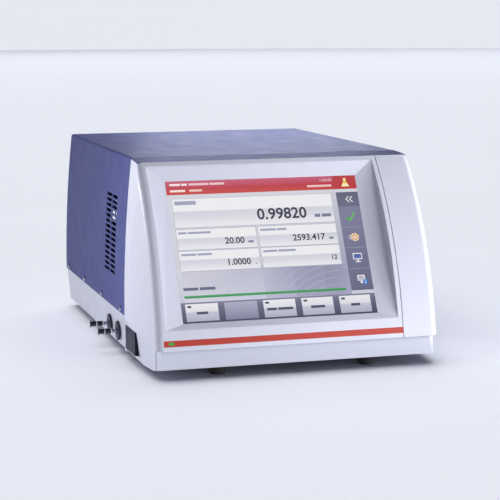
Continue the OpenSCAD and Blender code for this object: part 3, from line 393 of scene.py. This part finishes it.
def header():
    reds = (0.0, (198, 84, 112)), (0.35, (190, 62, 84)), (0.55, (188, 36, 44)), (1.0, (200, 58, 36))
    pic.rect(0, 0, GRID_W, HEADER_V, 3, *reds)
    pic.rect(192.4, 0, GRID_W, HEADER_V, 4, (186, 44, 52), (190, 46, 34))
    line1, line2, bar_h = 3.0, 10.2, 2.5
    pic.words(4.4, line1, bar_h, 4, (246, 226, 230), 12, 6.5)
    pic.words(26, line1, bar_h, 4, (236, 196, 204), 22, 17)
    pic.words(4.2, line2, bar_h, 4, (248, 228, 224), 17)
    pic.words(25.8, line2, bar_h, 4, (238, 196, 188), 14.5)
    pic.number("12:00:00", 190.3, 6.0, 3.0, 4, (240, 204, 212), bold=0.01)
    pic.words(161, 10.0, 2.4, 4, (238, 200, 196), 28.5)
    # a plain flask
    pic.poly([(204.2, 3), (207.4, 3), (207.4, 6.6), (204.2, 6.6)], 5, (250, 232, 150))
    pic.poly([(204.2, 6.6), (207.4, 6.6), (210.6, 13.2), (201.0, 13.2)], 5, (246, 196, 44))
    pic.poly([(203.0, 9.2), (208.6, 9.2), (210.2, 12.7), (201.5, 12.7)], 6, (252, 236, 190))


def tile(u0, v0, u1, v1, bars, bar_h, digits, digit_u, digit_v, digit_h, unit=None):
    """A result: bars for its name, its digits, and bars (u, widths, height) for its unit."""
    pic.rect(u0 - 0.6, v0 - 0.6, u1 + 0.6, v1 + 0.9, 3, (180, 180, 198))
    greys = (0.46, (212, 212, 222)), (0.62, (216, 216, 225)), (1.0, (238, 238, 240))
    pic.rect(u0, v0, u1, v1, 4, (0.0, WHITE), (0.42, WHITE), *greys)
    pic.words(u0 + 2.2, v0 + 2.6, bar_h, 5, LABEL, *bars)
    pic.number(digits, digit_u, digit_v, digit_h, 5, INK)
    if unit:
        unit_u, widths, unit_h = unit
        pic.words(unit_u, digit_v - unit_h, unit_h, 5, (120, 121, 146), *widths)


def results():
    left = 5.2
    tile(
        5.0, 20.8, TILES_U, 53.7, (24,), 4.4, "0.99820", 155.5, 47.6, 12.8, (164.5, (6.5, 11), 3.6)
    )
    tile(left, 56.2, 94.3, 79.0, (9, 26), 2.5, "20.00", 80.2, 73.8, 7.2, (84.3, (6.0,), 2.4))
    tile(
        97.2, 56.1, TILES_U, 79.2, (18, 11), 2.5, "2593.417", 172.8, 73.8, 7.2, (177.2, (5.2,), 2.4)
    )
    tile(left, 80.9, 94.3, 103.1, (17, 16), 2.5, "1.0000", 84.0, 98.2, 7.2, (89.0, (2.2,), 0.9))
    tile(97.2, 80.7, TILES_U, 103.0, (16, 20), 2.5, "12", 183.0, 97.2, 5.4)
    # status line and progress bar
    pic.words(5.0, 121.6, 3.2, 4, (96, 96, 122), 16.5, 17.5)
    pic.rect(5.0, 130.5, 187.2, 133.4, 4, (96, 176, 124), (34, 142, 60), (46, 150, 76))


def side_bar():
    """Five fields, with simple symbols in them."""
    greys = (128, 128, 155), (122, 122, 149), (112, 112, 139), (98, 98, 125)
    pic.rect(SIDE_U, 19.7, GRID_W, 134.2, 4, *greys)
    pic.rect(SIDE_U, 19.7, GRID_W, 36.8, 5, (92, 92, 118), (106, 106, 131))
    for v in (60.9, 84.8, 109.1):
        pic.rect(SIDE_U + 1, v, GRID_W, v + 0.5, 5, (160, 160, 182))
    # two angle marks
    for u in (203.4, 207.6):
        pic.poly([(u, 28.2), (u + 3.2, 24.6), (u + 4.6, 24.6), (u + 1.4, 28.2)], 6, WHITE)
        pic.poly([(u, 28.2), (u + 1.4, 28.2), (u + 4.6, 31.8), (u + 3.2, 31.8)], 6, WHITE)
    # tick
    pic.poly([(200.8, 50.6), (202.6, 49.0), (205.2, 51.4), (204.6, 54.6)], 6, (70, 178, 54))
    pic.poly([(204.6, 54.6), (205.2, 51.4), (210.6, 43.6), (211.8, 45.0)], 6, (96, 200, 70))
    # fan, with three short lines of wind
    for i in range(3):
        pic.rect(200.2 - 0.6 * (i == 1), 70.6 + 2.0 * i, 203.6, 71.2 + 2.0 * i, 6, WHITE)
    hub = (207.2, 73.0)
    pic.disc(*hub, 4.7, 6, (236, 226, 205), 28)
    for angle in range(0, 360, 60):
        pic.disc(*hub, 4.1, 7, (226, 150, 40), 6, angle, angle + 36)
    pic.disc(*hub, 1.1, 8, WHITE, 14)
    # monitor
    pic.rect(201.0, 91.6, 211.8, 99.0, 6, (232, 232, 238), (214, 214, 224))
    pic.rect(202.2, 92.8, 210.6, 97.8, 7, (52, 74, 138), (92, 122, 186))
    pic.poly([(204.6, 101.6), (208.2, 101.6), (207.2, 99.0), (205.6, 99.0)], 6, (226, 226, 234))
    pic.rect(203.2, 101.2, 209.6, 102.1, 6, (236, 236, 240))
    # page on a foot, with a blue badge
    pic.rect(202.2, 117.0, 211.0, 123.6, 6, (236, 236, 242), (222, 222, 230))
    for i in range(3):
        pic.rect(203.3, 118.4 + 1.5 * i, 209.6, 119.1 + 1.5 * i, 7, (110, 110, 140))
    pic.poly([(204.8, 126.4), (208.4, 126.4), (207.6, 123.6), (205.6, 123.6)], 6, (226, 226, 234))
    pic.rect(208.4, 122.4, 213.4, 128.0, 8, (40, 132, 214), (20, 104, 190))
    pic.rect(210.5, 123.3, 211.4, 124.2, 9, WHITE)
    pic.rect(210.5, 124.8, 211.4, 127.2, 9, WHITE)


def keys():
    """Five keys along the bottom, with bars for their names; the second is blank."""
    dark = (0.0, (122, 122, 148)), (0.25, (98, 98, 124)), (0.6, (82, 82, 107)), (1.0, (52, 52, 74))
    pic.rect(0, KEYS_V, GRID_W, GRID_H, 4, *dark)
    light = (
        (0.0, (238, 238, 240)), (0.45, (222, 222, 229)),
        (0.5, (196, 197, 211)), (1.0, (172, 173, 194)),
    )
    blank = (172, 173, 194), (150, 150, 176), (124, 124, 152)
    top, low, bar_h, gap = 139.8, 159.0, 2.9, 1.2
    for u0, u1, bars in (
        (4.5, 40.4, (12.5,)),
        (47.4, 84.0, ()),
        (90.8, 126.9, (11, 17)),
        (134.1, 169.9, (16,)),
        (177.3, 213.0, (10.5,)),
    ):
        pic.rect(u0, top, u1, low, 5, *(light if bars else blank))
        if bars:
            pic.rect(u0 + 2.2, 141.6, u0 + 6.6, 143.9, 6, (60, 60, 82))
            total = sum(bars) + gap * (len(bars) - 1)
            pic.words((u0 + u1 - total) / 2, 148.6, bar_h, 6, (66, 66, 90), *bars)


background()
header()
results()
side_bar()
keys()
pic.build("screen_picture", screen_material())

# ---------------------------------------------------------------- camera and stage
EYE = (-0.528, -1.907, 0.389)
YAW, PITCH, ROLL = math.radians(16.22), math.radians(8.30), math.radians(-0.27)
camera = bpy.data.objects.new("camera", bpy.data.cameras.new("camera"))
scene.collection.objects.link(camera)
ahead = Vector(
    (math.sin(YAW) * math.cos(PITCH), math.cos(YAW) * math.cos(PITCH), -math.sin(PITCH))
)
right = Vector((math.cos(YAW), -math.sin(YAW), 0.0))
up = right.cross(ahead)
rolled_right = right * math.cos(ROLL) + up * math.sin(ROLL)
rolled_up = up * math.cos(ROLL) - right * math.sin(ROLL)
turn = Matrix((rolled_right, rolled_up, -ahead)).transposed()
camera.matrix_world = Matrix.Translation(EYE) @ turn.to_4x4()
camera.data.sensor_width = 36.0
camera.data.lens = 119.7
camera.data.clip_end = 60.0
scene.camera = camera


def backdrop(name, scale, socket, sockets):
    """The studio's pale grey, as the floor's paint or as the wall's glow."""
    g = Graph(name)
    broad = g.noise(scale, 2.0)
    g.colour(g.mix(broad, srgb(229, 232, 241), srgb(231, 234, 243), 0.2, 0.8), socket)
    g.rough(broad, 0.8, 0.9)
    g.set(sockets)
    return g.mat


def staged(name, bm, mat):
    me = bpy.data.meshes.new(name)
    bm.to_mesh(me)
    bm.free()
    me.materials.append(mat)
    o = bpy.data.objects.new(name, me)
    scene.collection.objects.link(o)


STAGE_R, WALL_H, WALL_SUNK = 14.0, 4.0, 0.1
bm = bmesh.new()
bmesh.ops.create_circle(bm, cap_ends=True, segments=96, radius=STAGE_R)
staged("floor", bm, backdrop("floor", 1.5, "Base Color", {SHEEN: 0.1}))
bm = bmesh.new()
bmesh.ops.create_cone(
    bm, cap_ends=False, segments=96, radius1=STAGE_R, radius2=STAGE_R, depth=WALL_H
)
bmesh.ops.translate(bm, verts=bm.verts, vec=(0, 0, WALL_H / 2 - WALL_SUNK))
glow = {"Base Color": (0.0, 0.0, 0.0, 1), SHEEN: 0.0, "Emission Strength": 1.0}
staged("wall", bm, backdrop("wall", 0.3, "Emission Color", glow))

world = bpy.data.worlds.new("world")
world.use_nodes = True
world.node_tree.nodes["Background"].inputs["Strength"].default_value = 0.0
scene.world = world
scene.view_settings.view_transform = "Standard"

# ---------------------------------------------------------------- light
SUNS = {  # azimuth (0 is the rear, 90 the right), elevation and width, in degrees
    "sun_rear": (20, 60, 50),
    "sun_left": (270, 70, 60),
    "sun_low_left": (270, 15, 50),
    "sun_above": (0, 80, 60),
}
STANDS = {  # where a softbox stands, what it is aimed at, and its size
    "left": ((-1.3, -0.1, 0.3), (-0.15, -0.1, 0.1), (0.5, 0.5)),
    "near_left": ((-0.75, -0.45, 0.2), (-0.15, -0.18, 0.1), (0.3, 0.4)),
    "close_left": ((-0.45, -0.35, 0.2), (-0.15, -0.15, 0.1), (0.2, 0.3)),
    "rear_left": ((-0.9, 0.5, 0.5), (-0.15, 0.0, 0.15), (0.4, 0.4)),
    "rear": ((0.42, 1.25, 0.5), (0.05, 0.0, 0.22), (0.5, 0.4)),
    "back": ((0.3, 1.4, 0.2), (0.0, 0.1, 0.12), (1.6, 0.8)),
    "low_right": ((1.3, 0.1, 0.1), (0.15, 0.0, 0.12), (0.5, 0.3)),
    "right": ((1.3, -0.25, 0.35), (0.1, -0.2, 0.12), (0.5, 0.5)),
    "tall_right": ((0.9, -0.6, 0.3), (0.1, -0.2, 0.12), (0.3, 0.5)),
    "near_right": ((0.9, -0.75, 0.25), (0.1, -0.2, 0.12), (0.4, 0.4)),
    "key": ((0.95, -1.15, 0.55), (0.0, -0.15, 0.12), (0.7, 0.9)),
    "front": ((0.5, -1.3, 0.15), (0.0, -0.2, 0.1), (0.4, 0.3)),
    "front_high": ((0.2, -1.6, 1.4), (0.0, -0.2, 0.12), (1.0, 0.8)),
    "above": ((0.15, -0.5, 0.9), (0.1, -0.1, 0.22), (0.4, 0.4)),
    "above_rear": ((0.12, 0.35, 0.7), (0.05, 0.0, 0.22), (0.4, 0.4)),
}
COOL = (0.75, 0.8, 1.0)
taken = []


def light_at(name, place, power, colour=(1, 1, 1)):
    """A distant soft sun or a softbox on a stand."""
    data = bpy.data.lights.new(name, "SUN" if place in SUNS else "AREA")
    data.energy = power
    data.color = colour
    o = bpy.data.objects.new(name, data)
    if place in SUNS:
        azimuth, elevation, wide = (math.radians(a) for a in SUNS[place])
        data.angle = wide
        level = math.cos(elevation)
        away = (math.sin(azimuth) * level, math.cos(azimuth) * level, math.sin(elevation))
        aim = -Vector(away)
    else:
        at, target, size = STANDS[place]
        data.shape = "RECTANGLE"
        data.size, data.size_y = size
        o.location = at
        aim = Vector(target) - Vector(at)
    o.rotation_mode = "QUATERNION"
    o.rotation_quaternion = aim.to_track_quat("-Z", "Y")
    o.visible_camera = False
    scene.collection.objects.link(o)
    return o


def falls_on(name, members, *lights):
    """Lights for these pieces alone, or with no members for all that no other group took.

    A light is its place, its power and, where it isn't white, its colour.
    """
    group = bpy.data.collections.new(name + "_light")
    for o in members or taken:
        group.objects.link(o)
    if not members:
        for link in group.collection_objects:
            link.light_linking.link_state = "EXCLUDE"
    taken.extend(members)
    for place, *values in lights:
        light_at(f"{name}_{place}", place, *values).light_linking.receiver_collection = group


def nodes(*names):
    return [NODES[n] for n in names]


falls_on("floor", [bpy.data.objects["floor"]], ("sun_rear", 1.32), ("sun_left", 1.95))
falls_on(
    "cover",
    nodes("top_cover", "top_trim", "cover_screws"),
    ("rear", 2.5, COOL),
    ("close_left", 1.3),
    ("above_rear", 2.5, COOL),
    ("low_right", 10.0),
)
falls_on(
    "bezel",
    nodes("front_bezel", "right_front_panel", "display_glass")
    + [bpy.data.objects["screen_picture"]],
    ("left", 0.6),
    ("rear_left", 12.0),
    ("right", 12.0),
    ("near_right", 6.2),
    ("key", 3.5),
    ("front", 4.4),
    ("front_high", 2.0),
    ("above", 0.4),
    ("sun_low_left", 0.1),
)
falls_on(
    "inside",
    nodes(
        "display_module", "display_bracket", "control_board", "inlet_tube", "outlet_tube",
        "cell_block", "cell_lid", "oscillator_u_tube", "heat_sink", "mainboard",
        "board_standoffs", "power_supply", "io_board",
    ),
    ("sun_above", 0.4),
)
falls_on(
    "base",
    [],
    ("left", 3.2),
    ("near_left", 2.0),
    ("near_right", 5.2),
    ("tall_right", 6.5),
    ("key", 4.3),
    ("front", 0.8),
    ("front_high", 1.4),
    ("back", 5.0),
)
